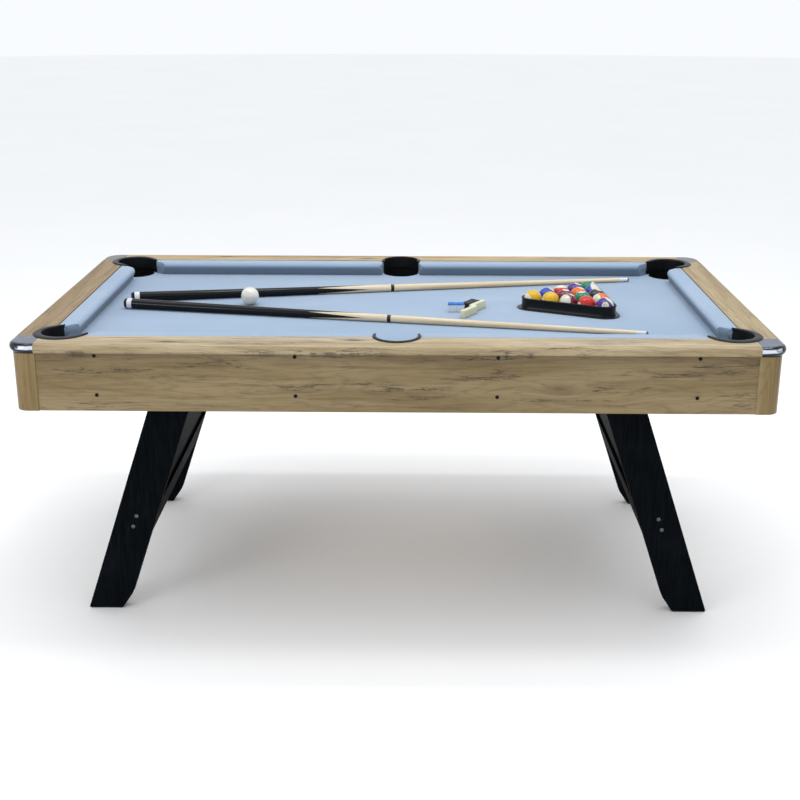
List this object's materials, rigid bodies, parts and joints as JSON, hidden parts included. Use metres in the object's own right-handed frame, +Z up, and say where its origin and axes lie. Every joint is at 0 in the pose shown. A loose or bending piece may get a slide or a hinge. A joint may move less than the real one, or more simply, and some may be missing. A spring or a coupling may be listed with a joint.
{
  "type": "pool table",
  "caption": "Pool table with light oak laminate rails and aprons, chrome corners, blue-grey cloth, drop pockets and splayed black legs, with cues, racked balls, chalk and brush.",
  "frame": {"origin": "on the floor under the middle of the table", "axes": "+X along the length to the right, +Y across to the back long side, +Z up"},
  "size_m": [1.9, 1.08, 0.8001],
  "materials": {
    "light_oak": "satin",
    "oak_panel": "satin",
    "raw_board": "matt",
    "bed_fabric": "matt",
    "cushion_fabric": "matt",
    "black_laminate": "satin",
    "pocket_plastic": "satin",
    "chrome_cap": "polished",
    "black_steel": "satin",
    "zinc_steel": "satin",
    "pad_rubber": "matt",
    "cue_maple": "gloss",
    "ball_resin": "polished",
    "rack_plastic": "satin",
    "chalk_case": "gloss",
    "brush_plastic": "satin"
  },
  "bodies": {
    "table": {"bed_board": "raw_board", "bed_cloth": "bed_fabric", "cushion_front_left": "cushion_fabric", "cushion_front_right": "cushion_fabric", "cushion_back_left": "cushion_fabric", "cushion_back_right": "cushion_fabric", "cushion_left_end": "cushion_fabric", "cushion_right_end": "cushion_fabric", "rail_front": "light_oak", "rail_back": "light_oak", "rail_left": "light_oak", "rail_right": "light_oak", "corner_cap_front_left": "chrome_cap", "corner_cap_front_right": "chrome_cap", "corner_cap_back_left": "chrome_cap", "corner_cap_back_right": "chrome_cap", "pocket_liner_front_left": "pocket_plastic", "pocket_liner_front_right": "pocket_plastic", "pocket_liner_back_left": "pocket_plastic", "pocket_liner_back_right": "pocket_plastic", "pocket_liner_front_side": "pocket_plastic", "pocket_liner_back_side": "pocket_plastic", "pocket_cup_front_left": "pocket_plastic", "pocket_cup_front_right": "pocket_plastic", "pocket_cup_back_left": "pocket_plastic", "pocket_cup_back_right": "pocket_plastic", "pocket_cup_front_side": "pocket_plastic", "pocket_cup_back_side": "pocket_plastic", "apron_front": "oak_panel", "apron_back": "oak_panel", "apron_left": "oak_panel", "apron_right": "oak_panel", "corner_post_front_left": "oak_panel", "corner_post_front_right": "oak_panel", "corner_post_back_left": "oak_panel", "corner_post_back_right": "oak_panel", "cross_beams": "raw_board", "bearer_ribs": "raw_board", "leg_bearer_left": "raw_board", "leg_bearer_right": "raw_board", "leg_front_left": "black_laminate", "leg_front_right": "black_laminate", "leg_back_left": "black_laminate", "leg_back_right": "black_laminate", "leg_panel_left": "black_laminate", "leg_panel_right": "black_laminate", "stretcher_left": "black_laminate", "stretcher_right": "black_laminate", "leg_brackets": "zinc_steel", "bracket_screws": "zinc_steel", "leg_bolts": "zinc_steel", "apron_screws": "black_steel", "foot_pads": "pad_rubber"},
    "front_cue": {"cue_front": "cue_maple"},
    "rear_cue": {"cue_rear": "cue_maple"},
    "white_ball": {"cue_ball": "ball_resin"},
    "racked_balls": {"object_balls": "ball_resin"},
    "rack": {"ball_rack": "rack_plastic"},
    "chalk": {"chalk_box": "chalk_case"},
    "brush": {"table_brush": "brush_plastic"}
  },
  "joints": [
    {"name": "front_cue_lift", "type": "slide", "parent": "table", "child": "front_cue", "axis": [0, 0, 1], "range_m": [0, 0.12]},
    {"name": "rear_cue_lift", "type": "slide", "parent": "table", "child": "rear_cue", "axis": [0, 0, 1], "range_m": [0, 0.12]},
    {"name": "white_ball_lift", "type": "slide", "parent": "table", "child": "white_ball", "axis": [0, 0, 1], "range_m": [0, 0.12]},
    {"name": "racked_balls_lift", "type": "slide", "parent": "table", "child": "racked_balls", "axis": [0, 0, 1], "range_m": [0, 0.12]},
    {"name": "rack_lift", "type": "slide", "parent": "table", "child": "rack", "axis": [0, 0, 1], "range_m": [0, 0.12]},
    {"name": "chalk_lift", "type": "slide", "parent": "table", "child": "chalk", "axis": [0, 0, 1], "range_m": [0, 0.12]},
    {"name": "brush_lift", "type": "slide", "parent": "table", "child": "brush", "axis": [0, 0, 1], "range_m": [0, 0.12]}
  ]
}
